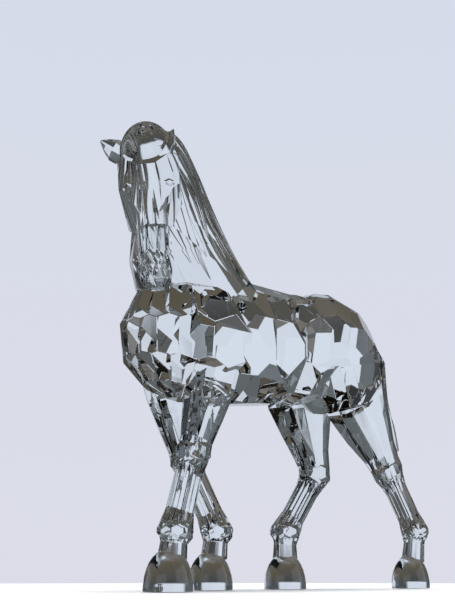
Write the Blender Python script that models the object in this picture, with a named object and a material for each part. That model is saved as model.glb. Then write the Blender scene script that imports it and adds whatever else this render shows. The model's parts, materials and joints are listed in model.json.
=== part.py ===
"""A walking horse cut from one block of clear crystal.

The horse faces -Y and its left side is +X. Sizes are in millimetres until the last step.
The ground is at height 0.
"""

import math

import bmesh
import bpy
from mathutils import Matrix, Vector

MILLIMETRE = 0.001

# The four masses of the trunk: centre and half sizes, as (across, along, up).
FOREHAND_CENTRE = (0.0, -20.0, 82.0)
FOREHAND_HALF = (18.0, 25.0, 20.5)
BARREL_CENTRE = (0.0, 6.0, 85.0)
BARREL_HALF = (18.0, 34.0, 22.3)
FLANK_CENTRE = (0.0, 33.0, 86.5)
FLANK_HALF = (15.8, 18.0, 20.0)
QUARTERS_CENTRE = (0.0, 54.0, 88.0)
QUARTERS_HALF = (16.6, 24.0, 21.3)
QUARTERS_SLOPE = 13.0

# Rows of facets on a mass: how far the facets face up, and the ways they face round it, in degrees.
FOREHAND_ROWS = (
    (-88.0, (0.0,)),
    (-66.0, (0.0, 36.0, 72.0, 108.0, 144.0)),
    (-40.0, (11.0, 33.0, 55.0, 78.0, 108.0, 145.0)),
    (-6.0, (0.0, 22.0, 44.0, 66.0, 93.0, 128.0)),
    (26.0, (11.0, 33.0, 55.0, 80.0, 112.0, 145.0)),
    (62.0, (0.0, 36.0, 72.0, 108.0, 150.0)),
)
FLANK_ROWS = (
    (-70.0, (60.0, 120.0)),
    (-36.0, (70.0, 110.0)),
    (0.0, (50.0, 90.0, 130.0)),
    (34.0, (70.0, 110.0)),
    (64.0, (60.0, 120.0)),
    (88.0, (0.0,)),
)
QUARTERS_ROWS = (
    (-60.0, (0.0, 60.0, 120.0, 180.0)),
    (-30.0, (26.0, 56.0, 82.0, 108.0, 136.0, 164.0)),
    (0.0, (40.0, 70.0, 94.0, 118.0, 146.0, 180.0)),
    (28.0, (26.0, 56.0, 82.0, 106.0, 132.0, 160.0)),
    (55.0, (0.0, 44.0, 86.0, 124.0, 180.0)),
    (80.0, (0.0, 180.0)),
)
ROUND = 2.0
FULL = 2.1
FULLER = 2.2

# The large flat on each side of the barrel: middle as (along, height), and how far out it lies.
SIDE_FLAT_MIDDLE = (5.3, 80.5)
SIDE_FLAT_OUT = 17.2

# The facets round that flat: way they lie from its middle, distance of their edge, and lean, in degrees.
RIB_FACETS = (
    (0.0, 16.5, 32.0), (45.0, 14.6, 32.0), (90.0, 10.6, 32.5), (135.0, 14.6, 26.0),
    (180.0, 16.5, 30.0), (225.0, 14.6, 32.0), (270.0, 11.2, 36.0), (309.0, 11.0, 38.0),
)
BACK_HEIGHT = 107.0
BELLY_HEIGHT = 63.0
LOIN_FACET = ((0.55, 0.0, 0.83), (10.5, 0.0, 101.5))
BELLY_FAN = (38.0, 62.0, 84.0, 106.0, 130.0)
BELLY_FAN_DROP = -62.0
BARREL_ENDS = (28.0, 150.0)

# Neck: throat line and crest line as (along, height), and half width, from the chest to the poll.
# The throat bends to the horse's right by the offset, as the head turns to its left.
NECK_THROAT = (
    (-33.0, 86.0), (-38.6, 96.0), (-39.4, 107.0), (-38.8, 117.0),
    (-39.4, 128.0), (-44.0, 139.0), (-46.0, 146.0),
)
NECK_CREST = (
    (17.0, 98.0), (6.0, 107.0), (-7.0, 118.5), (-15.8, 129.5),
    (-22.3, 140.5), (-28.0, 149.0), (-34.0, 152.5),
)
NECK_HALF_WIDTH = (15.0, 15.0, 14.6, 12.6, 9.8, 7.8, 6.0)
NECK_OFFSET = (0.0, -2.4, -4.2, -3.8, -1.8, 0.0, 0.5)
NECK_SIDES = 12

# Mane: angle of each strand round the neck (90 is the crest), its half thickness, rings and wave.
MANE_ANGLES = (80.0, 60.0, 42.0, 25.0, 8.0)
MANE_HALF = 1.9
MANE_FLATNESS = 1.25
MANE_LIFT = 0.2
MANE_STEPS = 12
MANE_SIDES = 6
MANE_WAVE = 3.0

# Head: position of the poll, turn to the horse's left and tilt, in degrees.
# Places on the head are (to the left, forward, up) from the poll.
POLL = (0.0, -39.6, 141.0)
HEAD_TURN = 38.0
HEAD_TILT = 5.6

# Skull: its flats as a way they face and a distance from the middle, on the centre line and on each side.
SKULL_MIDDLE = (0.0, 1.0, -8.0)
SKULL_CENTRE_FLATS = (
    ((0.0, -1.0, 0.02), 9.6),
    ((0.0, -0.84, 0.55), 9.6),
    ((0.0, -0.45, 0.9), 12.0),
    ((0.0, 0.3, -1.0), 16.0),
    ((0.0, 1.0, 0.0), 8.0),
    ((0.0, 0.0, 1.0), 13.0),
)
SKULL_SIDE_FLATS = (
    ((0.42, -0.9, 0.05), 10.0),
    ((0.8, -0.6, 0.1), 10.6),
    ((1.0, 0.05, 0.0), 10.0),
    ((0.85, -0.3, -0.42), 11.6),
    ((0.6, -0.35, -0.7), 15.2),
    ((0.7, -0.3, 0.65), 12.4),
)
CHEEKS_MIDDLE = (0.0, -2.0, -11.5)
CHEEKS_HALF = (8.4, 9.0, 12.5)
CHEEKS_ROWS = (
    (-55.0, (0.0, 60.0, 120.0, 180.0)),
    (-20.0, (30.0, 62.0, 90.0, 118.0, 150.0)),
    (15.0, (0.0, 50.0, 78.0, 104.0, 140.0)),
    (55.0, (0.0, 90.0, 180.0)),
)
FORELOCK_MIDDLE = (-0.3, 1.2, 1.5)
FORELOCK_HALF = (9.2, 9.0, 11.4)
FORELOCK_LATITUDES = (-80.0, -62.0, -45.0, -29.0, -14.0, 0.0, 14.0, 29.0, 45.0, 62.0, 80.0)
FORELOCK_SIDES = 24

# Nose, from the brow down: height, middle forward, half width, half depth, turn of the facets.
NOSE_RINGS = (
    (-12.0, 2.8, 6.4, 8.0, 0.5), (-21.0, 5.2, 5.4, 6.9, 0.5), (-29.0, 7.2, 5.1, 5.6, 0.5),
    (-35.0, 8.4, 5.0, 4.9, 0.5), (-38.5, 8.9, 5.4, 4.9, 0.0), (-42.0, 9.1, 5.5, 4.8, 0.5),
    (-45.0, 9.1, 4.9, 4.2, 0.0), (-47.3, 8.9, 3.2, 2.7, 0.5),
)
NOSE_SIDES = 10
EYE_MIDDLE = (6.2, 7.9, -12.0)
EYE_HALF = (2.5, 1.9, 1.5)

# Ears: base, tip, half width and half depth, then their widths at shares of the way up.
RIGHT_EAR = ((-8.0, 2.0, 1.5), (-15.5, 2.0, 8.0), 4.0, 2.4)
LEFT_EAR = ((4.6, 6.6, -2.0), (9.4, 2.0, 9.0), 3.8, 2.8)
EAR_SHAPE = ((-0.2, 0.45), (0.12, 0.95), (0.4, 1.0), (0.72, 0.6), (1.0, 0.08))
EAR_SIDES = 8

# Legs: joints from top to ground, as (across, along, height).
LEFT_FORE = ((10.3, -17.5, 74.0), (10.0, -27.5, 42.5), (9.0, -34.3, 18.5), (9.0, -37.0, 0.0))
RIGHT_FORE = ((-10.3, -21.0, 74.0), (-10.0, -9.5, 42.0), (-9.5, 5.0, 20.0), (-9.0, 1.2, 0.0))
LEFT_HIND = (
    (8.6, 57.0, 96.0), (10.2, 62.0, 69.0), (9.5, 82.5, 44.0), (8.5, 101.5, 22.0), (8.0, 98.0, 0.0),
)
RIGHT_HIND = (
    (-8.6, 51.0, 96.0), (-10.2, 53.5, 69.0), (-9.5, 61.0, 42.5), (-8.5, 41.0, 20.5), (-8.0, 40.3, 0.0),
)

# Stations of a leg: bone, share of the way down it, half width, half depth, side groove, turn of the facets.
FORE_STATIONS = (
    (0, -0.18, 5.0, 8.6, 0.0, 0.0),
    (0, 0.04, 5.8, 10.0, 0.0, 0.0),
    (0, 0.30, 6.0, 9.6, 0.0, 0.0),
    (0, 0.60, 5.2, 7.4, 0.0, 0.0),
    (0, 0.84, 4.3, 5.6, 0.0, 0.0),
    (0, 0.91, 4.6, 5.4, 0.0, 0.5),
    (0, 0.98, 4.8, 5.5, 0.0, 0.0),
    (1, 0.06, 4.5, 5.2, 0.0, 0.5),
    (1, 0.16, 3.7, 4.5, 0.1, 0.0),
    (1, 0.36, 3.4, 4.7, 0.35, 0.0),
    (1, 0.72, 3.4, 4.9, 0.35, 0.0),
    (1, 0.88, 4.0, 5.5, 0.1, 0.0),
    (1, 0.97, 4.5, 5.9, 0.0, 0.5),
    (2, 0.06, 4.3, 5.6, 0.0, 0.0),
    (2, 0.16, 3.6, 4.4, 0.0, 0.0),
    (2, 0.45, 3.9, 4.7, 0.0, 0.0),
)
HIND_STATIONS = (
    (0, 0.00, 6.0, 10.0, 0.0, 0.0),
    (0, 0.50, 8.0, 18.6, 0.0, 0.0),
    (1, 0.00, 7.6, 16.8, 0.0, 0.0),
    (1, 0.30, 6.4, 13.0, 0.0, 0.0),
    (1, 0.62, 5.0, 9.2, 0.0, 0.0),
    (1, 0.86, 4.4, 7.2, 0.0, 0.0),
    (1, 0.95, 4.7, 7.0, 0.0, 0.5),
    (2, 0.04, 4.6, 6.6, 0.0, 0.0),
    (2, 0.14, 4.0, 5.7, 0.0, 0.5),
    (2, 0.26, 3.6, 4.8, 0.2, 0.0),
    (2, 0.50, 3.4, 4.5, 0.35, 0.0),
    (2, 0.78, 3.5, 4.7, 0.35, 0.0),
    (2, 0.90, 4.1, 5.4, 0.1, 0.0),
    (2, 0.98, 4.5, 5.8, 0.0, 0.5),
    (3, 0.07, 4.3, 5.3, 0.0, 0.0),
    (3, 0.16, 3.6, 4.3, 0.0, 0.0),
    (3, 0.52, 3.9, 4.7, 0.0, 0.0),
)
LEG_SIDES = 12

# Hoof: height, half width and half depth from the ground up.
HOOF_RINGS = ((0.0, 6.7, 9.0), (3.6, 6.5, 8.7), (7.4, 5.8, 7.6), (10.2, 4.9, 6.3), (12.2, 4.0, 5.0))
HOOF_SIDES = 16

# The small knob behind each fetlock: place from the joint, and half sizes.
ERGOT_PLACE = (0.0, 4.4, -1.6)
ERGOT_HALF = (2.4, 2.2, 2.4)

# Tail: its line from the croup down, and its half width and half depth on the way.
TAIL_LINE = (
    (0.0, 72.0, 103.0), (0.5, 80.0, 97.5), (1.0, 86.0, 89.0), (1.5, 88.0, 80.0),
    (1.5, 91.0, 72.0), (1.5, 96.0, 63.0), (1.5, 101.5, 54.0),
)
TAIL_SIZES = ((4.5, 3.4), (4.2, 3.8), (3.6, 3.8), (3.4, 3.6), (3.2, 3.4), (2.6, 2.8), (0.8, 0.9))
TAIL_SIDES = 8

# Crystal glass: colour, roughness and refraction.
CRYSTAL_COLOUR = (0.93, 0.96, 0.97, 1.0)
CRYSTAL_ROUGHNESS = 0.02
CRYSTAL_REFRACTION = 1.52


def clear_scene():
    for thing in list(bpy.data.objects):
        bpy.data.objects.remove(thing, do_unlink=True)


def direction(azimuth, elevation):
    """Azimuth in degrees from the front (-Y) towards the left side (+X), elevation above level."""
    a = math.radians(azimuth)
    e = math.radians(elevation)
    return Vector((math.sin(a) * math.cos(e), -math.cos(a) * math.cos(e), math.sin(e)))


def reach(normal, half, squareness):
    """Distance from the centre to the plane that touches the rounded mass and faces along the normal."""
    q = squareness / (squareness - 1.0)
    return sum((h * abs(n)) ** q for h, n in zip(half, normal)) ** (1.0 / q)


def cut_stone(name, centre, planes, size, turn=None):
    """A convex stone: a block cut by flat planes, each a normal and a distance from the centre."""
    turn = turn or Matrix.Identity(3)
    centre = Vector(centre)
    mesh = bmesh.new()
    bmesh.ops.create_cube(mesh, size=2.0 * size, matrix=Matrix.Translation(centre))
    for normal, distance in planes:
        normal = turn @ Vector(normal).normalized()
        everything = mesh.verts[:] + mesh.edges[:] + mesh.faces[:]
        cut = bmesh.ops.bisect_plane(
            mesh, geom=everything, dist=0.0001, plane_co=centre + normal * distance,
            plane_no=normal, clear_outer=True,
        )
        rim = [part for part in cut["geom_cut"] if isinstance(part, bmesh.types.BMEdge)]
        if len(rim) > 2:
            bmesh.ops.contextual_create(mesh, geom=rim)
    bmesh.ops.remove_doubles(mesh, verts=mesh.verts[:], dist=0.001)
    return finish(name, mesh)


def rounded_mass(name, centre, half, rows, squareness, turn=None):
    """A stone whose facets touch a rounded mass, in rows like brickwork, the same on both sides."""
    planes = []
    for elevation, azimuths in rows:
        for azimuth in both_sides(azimuths):
            normal = direction(azimuth, elevation)
            planes.append((normal, reach(normal, half, squareness)))
    return cut_stone(name, centre, planes, 2.0 * max(half), turn)


def both_sides(azimuths):
    """The azimuths given, and the same on the other side of the centre line."""
    return [a for a in azimuths] + [-a for a in azimuths if a % 180.0]


def loft(name, rings):
    """A closed body through rings of the same number of points, with flat ends."""
    mesh = bmesh.new()
    loops = [[mesh.verts.new(point) for point in ring] for ring in rings]
    count = len(rings[0])
    mesh.faces.new(list(reversed(loops[0])))
    mesh.faces.new(loops[-1])
    for low, high in zip(loops, loops[1:]):
        for i in range(count):
            j = (i + 1) % count
            a, b, c, d = low[i], low[j], high[j], high[i]
            normal = (b.co - a.co).cross(d.co - a.co)
            if normal.length and abs((c.co - a.co).dot(normal.normalized())) < 0.002:
                mesh.faces.new((a, b, c, d))
            elif (c.co - a.co).dot(normal) < 0.0:
                mesh.faces.new((a, b, c))
                mesh.faces.new((a, c, d))
            else:
                mesh.faces.new((a, b, d))
                mesh.faces.new((b, c, d))
    return finish(name, mesh)


def finish(name, mesh):
    bmesh.ops.recalc_face_normals(mesh, faces=mesh.faces[:])
    data = bpy.data.meshes.new(name)
    mesh.to_mesh(data)
    mesh.free()
    thing = bpy.data.objects.new(name, data)
    bpy.context.scene.collection.objects.link(thing)
    return thing


def between(a, b, share):
    return a + (b - a) * share


def through(table, position):
    """A smooth curve through the rows of a table, at a position counted in rows."""
    last = len(table) - 1
    i = min(int(position), last - 1)
    t = position - i
    rows = [Vector(table[min(max(i + k, 0), last)]) for k in (-1, 0, 1, 2)]
    p0, p1, p2, p3 = rows
    return 0.5 * (
        2.0 * p1 + (p2 - p0) * t + (2.0 * p0 - 5.0 * p1 + 4.0 * p2 - p3) * t * t
        + (3.0 * p1 - p0 - 3.0 * p2 + p3) * t * t * t
    )


def forehand():
    return rounded_mass("forehand", FOREHAND_CENTRE, FOREHAND_HALF, FOREHAND_ROWS, FULL)


def facing(normal, point, centre):
    """A plane through a point, as a normal and a distance from the centre of its stone."""
    normal = Vector(normal).normalized()
    return normal, normal.dot(Vector(point) - Vector(centre))


def barrel():
    """The ribs: a long flat on each side with eight facets round it, one up to the back, a fan below."""
    along, height = SIDE_FLAT_MIDDLE
    loin_normal, loin_point = LOIN_FACET
    planes = [facing((0.0, 0.0, 1.0), (0.0, 0.0, BACK_HEIGHT), BARREL_CENTRE)]
    planes.append(facing((0.0, 0.1, -1.0), (0.0, 6.0, BELLY_HEIGHT), BARREL_CENTRE))
    for side in (1.0, -1.0):
        planes.append(facing((side, 0.0, 0.0), (side * SIDE_FLAT_OUT, 0.0, 0.0), BARREL_CENTRE))
        for angle, far, lean in RIB_FACETS:
            a = math.radians(angle)
            t = math.radians(lean)
            normal = (side * math.cos(t), math.sin(t) * math.cos(a), math.sin(t) * math.sin(a))
            point = (side * SIDE_FLAT_OUT, along + far * math.cos(a), height + far * math.sin(a))
            planes.append(facing(normal, point, BARREL_CENTRE))
        mirror = Vector((side, 1.0, 1.0))
        planes.append(facing(mirror * Vector(loin_normal), mirror * Vector(loin_point), BARREL_CENTRE))
        for azimuth in BELLY_FAN:
            normal = direction(side * azimuth, BELLY_FAN_DROP)
            planes.append((normal, reach(normal, BARREL_HALF, FULL)))
        for azimuth in BARREL_ENDS:
            normal = direction(side * azimuth, 0.0)
            planes.append((normal, reach(normal, BARREL_HALF, FULL)))
    return cut_stone("barrel", BARREL_CENTRE, planes, 60.0)


def flank():
    return rounded_mass("flank", FLANK_CENTRE, FLANK_HALF, FLANK_ROWS, FULLER)


def quarters():
    slope = Matrix.Rotation(math.radians(-QUARTERS_SLOPE), 3, "X")
    return rounded_mass("quarters", QUARTERS_CENTRE, QUARTERS_HALF, QUARTERS_ROWS, FULLER, slope)


def neck_frame(position):
    """Middle of the neck, half its depth as a vector towards the crest, and its half width."""
    throat = through([(x, y, z) for x, (y, z) in zip(NECK_OFFSET, NECK_THROAT)], position)
    crest = through([(0.0, y, z) for y, z in NECK_CREST], position)
    width = through([(w, 0.0, 0.0) for w in NECK_HALF_WIDTH], position).x
    return (throat + crest) / 2.0, (crest - throat) / 2.0, width


def neck_point(position, angle, lift=0.0):
    """A point on the neck: angle in degrees from the left side (0) to the crest (90)."""
    middle, depth, width = neck_frame(position)
    a = math.radians(angle)
    across = Vector((1.0, 0.0, 0.0)) * (width + lift)
    crestward = depth.normalized() * (depth.length + lift)
    return middle + across * math.cos(a) + crestward * math.sin(a)


def neck():
    rings = []
    for station in range(len(NECK_CREST)):
        ring = [neck_point(station, 360.0 * (i + 0.5) / NECK_SIDES) for i in range(NECK_SIDES)]
        rings.append(ring)
    return loft("neck", rings)


def head_matrix():
    turn = Matrix.Rotation(math.radians(HEAD_TURN), 3, "Z")
    tilt = Matrix.Rotation(math.radians(-HEAD_TILT), 3, "Y")
    return turn @ tilt


def head_place(across, forward, up):
    """A place on the head from the poll: to the horse's left, forward and up."""
    return Vector(POLL) + head_matrix() @ Vector((across, -forward, up))


def skull():
    planes = list(SKULL_CENTRE_FLATS)
    for side in (1.0, -1.0):
        planes += [((side * x, y, z), distance) for (x, y, z), distance in SKULL_SIDE_FLATS]
    return cut_stone("skull", head_place(*SKULL_MIDDLE), planes, 24.0, head_matrix())


def cheeks():
    return rounded_mass("cheeks", head_place(*CHEEKS_MIDDLE), CHEEKS_HALF, CHEEKS_ROWS, FULL, head_matrix())


def forelock():
    """The smooth tuft between the ears."""
    middle_across, middle_forward, middle_up = FORELOCK_MIDDLE
    half_width, half_depth, half_height = FORELOCK_HALF
    rings = []
    for latitude in FORELOCK_LATITUDES:
        e = math.radians(latitude)
        up = middle_up + half_height * math.sin(e)
        ring = []
        for i in range(FORELOCK_SIDES):
            a = 2.0 * math.pi * i / FORELOCK_SIDES
            across = middle_across + half_width * math.cos(e) * math.sin(a)
            forward = middle_forward + half_depth * math.cos(e) * math.cos(a)
            ring.append(head_place(across, forward, up))
        rings.append(ring)
    return loft("forelock", rings)


def nose():
    """The straight lower face, from the brow to the rounded lips."""
    rings = []
    for up, forward, half_width, half_depth, turn in NOSE_RINGS:
        ring = []
        for i in range(NOSE_SIDES):
            a = 2.0 * math.pi * (i + turn) / NOSE_SIDES
            ring.append(head_place(half_width * math.sin(a), forward + half_depth * math.cos(a), up))
        rings.append(ring)
    return loft("nose", rings)


def small_gem(name, centre, half, turn=None):
    """A small stone with a girdle of eight facets, eight above and below, and flat ends."""
    step = 45.0
    planes = [((0.0, 0.0, 1.0), half[2]), ((0.0, 0.0, -1.0), half[2])]
    for elevation, first in ((-40.0, 0.0), (0.0, 0.5 * step), (40.0, 0.0)):
        for i in range(8):
            normal = direction(first + step * i, elevation)
            planes.append((normal, reach(normal, half, ROUND)))
    return cut_stone(name, centre, planes, 2.0 * max(half), turn)


def eyes():
    across, forward, up = EYE_MIDDLE
    return [
        small_gem("eye", head_place(side * across, forward, up), EYE_HALF, head_matrix())
        for side in (1.0, -1.0)
    ]


def ear(name, base, tip, half_width, half_depth):
    base = head_place(*base)
    tip = head_place(*tip)
    along = (tip - base).normalized()
    side = along.cross(Vector((0.0, -1.0, 0.0))).normalized()
    front = side.cross(along).normalized()
    rings = []
    for share, width in EAR_SHAPE:
        middle = between(base, tip, share)
        ring = []
        for i in range(EAR_SIDES):
            a = 2.0 * math.pi * i / EAR_SIDES
            outward = side * half_width * math.cos(a) + front * half_depth * math.sin(a)
            ring.append(middle + outward * width)
        rings.append(ring)
    return loft(name, rings)


def ears():
    return [ear("right ear", *RIGHT_EAR), ear("left ear", *LEFT_EAR)]


def mane_strand(side, order, angle):
    """One long lock from behind the poll down the side of the neck, flat, gently waved and tapering."""
    low = 0.95 + 0.22 * order
    high = 5.9 - 0.1 * order
    rings = []
    for s in range(MANE_STEPS + 1):
        share = s / MANE_STEPS
        position = low + (high - low) * share
        turned = angle + MANE_WAVE * math.sin(3.0 * math.pi * share + 1.3 * order)
        if side < 0.0:
            turned = 180.0 - turned
        here = neck_point(position, turned, MANE_LIFT)
        out = (neck_point(position, turned, 1.0) - here).normalized()
        ahead = (neck_point(position + 0.05, turned, MANE_LIFT) - here).normalized()
        across = ahead.cross(out).normalized()
        half = MANE_HALF * min(1.0, 0.25 + 2.6 * share) * (1.0 - 0.35 * share * share)
        ring = []
        for i in range(MANE_SIDES):
            a = 2.0 * math.pi * (i + 0.5) / MANE_SIDES
            ring.append(here + (across * MANE_FLATNESS * math.cos(a) + out * math.sin(a)) * half)
        rings.append(ring)
    return loft("mane strand", rings)


def mane():
    return [
        mane_strand(side, order, angle)
        for side in (1.0, -1.0)
        for order, angle in enumerate(MANE_ANGLES)
    ]


def bend_at(joints, bone, share):
    """The way the leg runs at a station, turning gradually through the joints above and below."""
    along = (joints[bone + 1] - joints[bone]).normalized()
    if share < 0.3 and bone > 0:
        before = (joints[bone] - joints[bone - 1]).normalized()
        along = between(before, along, 0.5 + share / 0.6).normalized()
    if share > 0.7 and bone + 2 < len(joints):
        after = (joints[bone + 2] - joints[bone + 1]).normalized()
        along = between(along, after, (share - 0.7) / 0.6).normalized()
    return along


def leg(name, joints, stations):
    joints = [Vector(j) for j in joints]
    grooved = (LEG_SIDES // 3, LEG_SIDES - LEG_SIDES // 3)
    across = Vector((1.0, 0.0, 0.0))
    rings = []
    for bone, share, half_width, half_depth, groove, turn in stations:
        here = between(joints[bone], joints[bone + 1], share)
        forward = bend_at(joints, bone, share).cross(across).normalized()
        if forward.y > 0.0:
            forward = -forward
        ring = []
        for i in range(LEG_SIDES):
            a = 2.0 * math.pi * (i + turn) / LEG_SIDES
            width = half_width * math.sin(a)
            if i in grooved:
                width *= 1.0 - groove
            ring.append(here + across * width + forward * half_depth * math.cos(a))
        rings.append(ring)
    return loft(name, rings)


def ergot(joints):
    """The small knob behind a fetlock."""
    return small_gem("ergot", Vector(joints[-2]) + Vector(ERGOT_PLACE), ERGOT_HALF)


def hoof(joints):
    ground = Vector(joints[-1])
    rings = []
    for height, half_width, half_depth in HOOF_RINGS:
        ring = []
        for i in range(HOOF_SIDES):
            a = 2.0 * math.pi * (i + 0.5) / HOOF_SIDES
            ring.append(ground + Vector((half_width * math.sin(a), -half_depth * math.cos(a), height)))
        rings.append(ring)
    return loft("hoof", rings)


def tail():
    last = len(TAIL_LINE) - 1
    across = Vector((1.0, 0.0, 0.0))
    rings = []
    for i, (half_width, half_depth) in enumerate(TAIL_SIZES):
        along = Vector(TAIL_LINE[min(i + 1, last)]) - Vector(TAIL_LINE[max(i - 1, 0)])
        back = across.cross(along).normalized()
        ring = []
        for k in range(TAIL_SIDES):
            a = 2.0 * math.pi * (k + 0.5) / TAIL_SIDES
            outward = across * half_width * math.cos(a) + back * half_depth * math.sin(a)
            ring.append(Vector(TAIL_LINE[i]) + outward)
        rings.append(ring)
    return loft("tail", rings)


def join_as_one(name, pieces):
    """One closed solid from overlapping pieces."""
    body = pieces[0]
    body.name = name
    others = bpy.data.collections.new("pieces of the horse")
    for piece in pieces[1:]:
        others.objects.link(piece)
    union = body.modifiers.new("union", "BOOLEAN")
    union.operation = "UNION"
    union.solver = "EXACT"
    union.operand_type = "COLLECTION"
    union.collection = others
    graph = bpy.context.evaluated_depsgraph_get()
    joined = bpy.data.meshes.new_from_object(body.evaluated_get(graph))
    body.modifiers.clear()
    body.data = joined
    for piece in pieces[1:]:
        bpy.data.objects.remove(piece, do_unlink=True)
    bpy.data.collections.remove(others)
    return body


def fill_voids(body):
    """Closes any hollow left between overlapping pieces, so that the glass is solid throughout."""
    mesh = bmesh.new()
    mesh.from_mesh(body.data)
    left = set(mesh.faces)
    hollow = []
    while left:
        shell = [left.pop()]
        for face in shell:
            for edge in face.edges:
                for other in edge.link_faces:
                    if other in left:
                        left.remove(other)
                        shell.append(other)
        middle = shell[0].calc_center_median()
        volume = sum(
            (face.calc_center_median() - middle).dot(face.normal) * face.calc_area() for face in shell
        )
        if volume < 0.0:
            hollow += shell
    bmesh.ops.delete(mesh, geom=hollow, context="FACES")
    mesh.to_mesh(body.data)
    mesh.free()


def crystal():
    material = bpy.data.materials.new("crystal")
    material.use_nodes = True
    shader = material.node_tree.nodes["Principled BSDF"]
    shader.inputs["Base Color"].default_value = CRYSTAL_COLOUR
    shader.inputs["Roughness"].default_value = CRYSTAL_ROUGHNESS
    shader.inputs["Metallic"].default_value = 0.0
    shader.inputs["Transmission Weight"].default_value = 1.0
    shader.inputs["IOR"].default_value = CRYSTAL_REFRACTION
    return material


def stand_on_origin(body):
    """To metres, with the middle of the box's underside at the origin."""
    low = Vector([min(v.co[i] for v in body.data.vertices) for i in range(3)])
    high = Vector([max(v.co[i] for v in body.data.vertices) for i in range(3)])
    middle = (low + high) / 2.0
    shift = Vector((-middle.x, -middle.y, -low.z))
    body.data.transform(Matrix.Scale(MILLIMETRE, 4) @ Matrix.Translation(shift))


def main():
    clear_scene()
    pieces = [barrel(), forehand(), flank(), quarters(), tail()]
    pieces += [neck(), skull(), cheeks(), forelock(), nose()]
    pieces += ears()
    pieces += eyes()
    pieces += mane()
    for name, joints, stations in (
        ("left fore leg", LEFT_FORE, FORE_STATIONS),
        ("right fore leg", RIGHT_FORE, FORE_STATIONS),
        ("left hind leg", LEFT_HIND, HIND_STATIONS),
        ("right hind leg", RIGHT_HIND, HIND_STATIONS),
    ):
        pieces.append(leg(name, joints, stations))
        pieces.append(ergot(joints))
        pieces.append(hoof(joints))
    body = join_as_one("crystal_horse", pieces)
    fill_voids(body)
    body.data.materials.clear()
    body.data.materials.append(crystal())
    stand_on_origin(body)


main()
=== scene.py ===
# %% [markdown]
# # A walking horse cut from clear crystal
# The real object is one block of clear glass, ground and polished into a small walking horse.
# Its trunk is covered with large flat facets, its legs are long prisms, and its mane, forelock
# and hooves are rounded and polished. There is no colour and no paint. All that shows is light
# bent by the surfaces, so in this lesson the shape does nearly all the work.
#
# The plan is to cut each mass as a stone of its own, to melt all the stones into one closed
# solid, to give it a see-through finish, and then to light it.

import json
import math

import bmesh
import bpy
from mathutils import Matrix, Vector


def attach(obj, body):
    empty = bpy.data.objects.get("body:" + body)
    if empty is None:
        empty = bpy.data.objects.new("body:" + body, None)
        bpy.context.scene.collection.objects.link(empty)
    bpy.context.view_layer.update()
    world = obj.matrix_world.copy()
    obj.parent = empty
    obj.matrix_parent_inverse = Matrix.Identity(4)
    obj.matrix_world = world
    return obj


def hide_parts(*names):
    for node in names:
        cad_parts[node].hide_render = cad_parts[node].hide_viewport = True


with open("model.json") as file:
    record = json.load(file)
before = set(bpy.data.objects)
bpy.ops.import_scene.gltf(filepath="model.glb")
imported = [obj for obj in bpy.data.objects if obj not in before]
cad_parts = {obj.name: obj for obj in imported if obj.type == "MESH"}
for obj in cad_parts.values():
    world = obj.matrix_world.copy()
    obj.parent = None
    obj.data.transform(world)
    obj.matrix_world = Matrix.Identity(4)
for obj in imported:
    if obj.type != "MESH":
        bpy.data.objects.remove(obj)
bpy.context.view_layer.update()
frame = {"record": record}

# %% [markdown]
# ## Where the horse stands
# A sculptor measures from the ground and from the horse's own middle line, in millimetres.
# The frame wants metres, and its origin is under the middle of the whole box. The four soles
# are written in the frame's record, so one of them ties the two together: the sculptor's
# drawing is slid along until its left fore hoof stands on the left fore sole.

# %% Sculptor's millimetres to the frame's metres
MILLIMETRE = 0.001
LEFT_FORE = ((10.3, -17.5, 74.0), (10.0, -27.5, 42.5), (9.0, -34.3, 18.5), (9.0, -37.0, 0.0))

soles = {mount["name"]: Vector(mount["pos_m"]) for mount in frame["record"]["mounts"]}
slide = soles["left_fore_sole"] - Vector(LEFT_FORE[-1]) * MILLIMETRE
to_frame = Matrix.Translation(slide) @ Matrix.Scale(MILLIMETRE, 4)
print("the drawing slides by, mm:", [round(1000.0 * s, 2) for s in slide])

# %% [markdown]
# ## Cutting a stone
# A gem cutter presses the glass on a flat wheel, and each touch leaves one plane. Blender can
# do just that: start with a block and bisect it with a plane again and again, throwing away
# the outer side and closing the hole. The result is always convex, and every facet is truly
# flat, which matters in glass, because a bent facet blurs what is seen through it.
# Last, each edge gets a hair-thin bevel. On the real thing that is the worn arris, and it is
# what shows as a fine bright line between two facets.

# %% Planes, blocks and edges
CUT = 0
ROUNDED = 1
ARRIS = 0.14


def direction(azimuth, elevation):
    """Azimuth in degrees from the front (-Y) towards the left side (+X), elevation above level."""
    a = math.radians(azimuth)
    e = math.radians(elevation)
    return Vector((math.sin(a) * math.cos(e), -math.cos(a) * math.cos(e), math.sin(e)))


def between(a, b, share):
    return a + (b - a) * share


def break_edges(mesh, width, least=9.0):
    """A narrow bevel along every edge that turns by more than the least angle."""
    sharp = [
        edge for edge in mesh.edges
        if len(edge.link_faces) == 2 and edge.calc_face_angle(0.0) > math.radians(least)
    ]
    bmesh.ops.bevel(
        mesh, geom=sharp, offset=width, offset_type="OFFSET", segments=1, profile=0.5,
        affect="EDGES", clamp_overlap=True,
    )
    bmesh.ops.remove_doubles(mesh, verts=mesh.verts[:], dist=0.002)
    bmesh.ops.dissolve_degenerate(mesh, edges=mesh.edges[:], dist=0.001)


def finish(name, mesh, kind=CUT):
    """Turns a bmesh into an object, with its faces marked as cut flat or as rounded."""
    bmesh.ops.recalc_face_normals(mesh, faces=mesh.faces[:])
    for face in mesh.faces:
        face.material_index = kind
        face.smooth = kind == ROUNDED
    data = bpy.data.meshes.new(name)
    mesh.to_mesh(data)
    mesh.free()
    thing = bpy.data.objects.new(name, data)
    bpy.context.scene.collection.objects.link(thing)
    return thing


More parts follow.
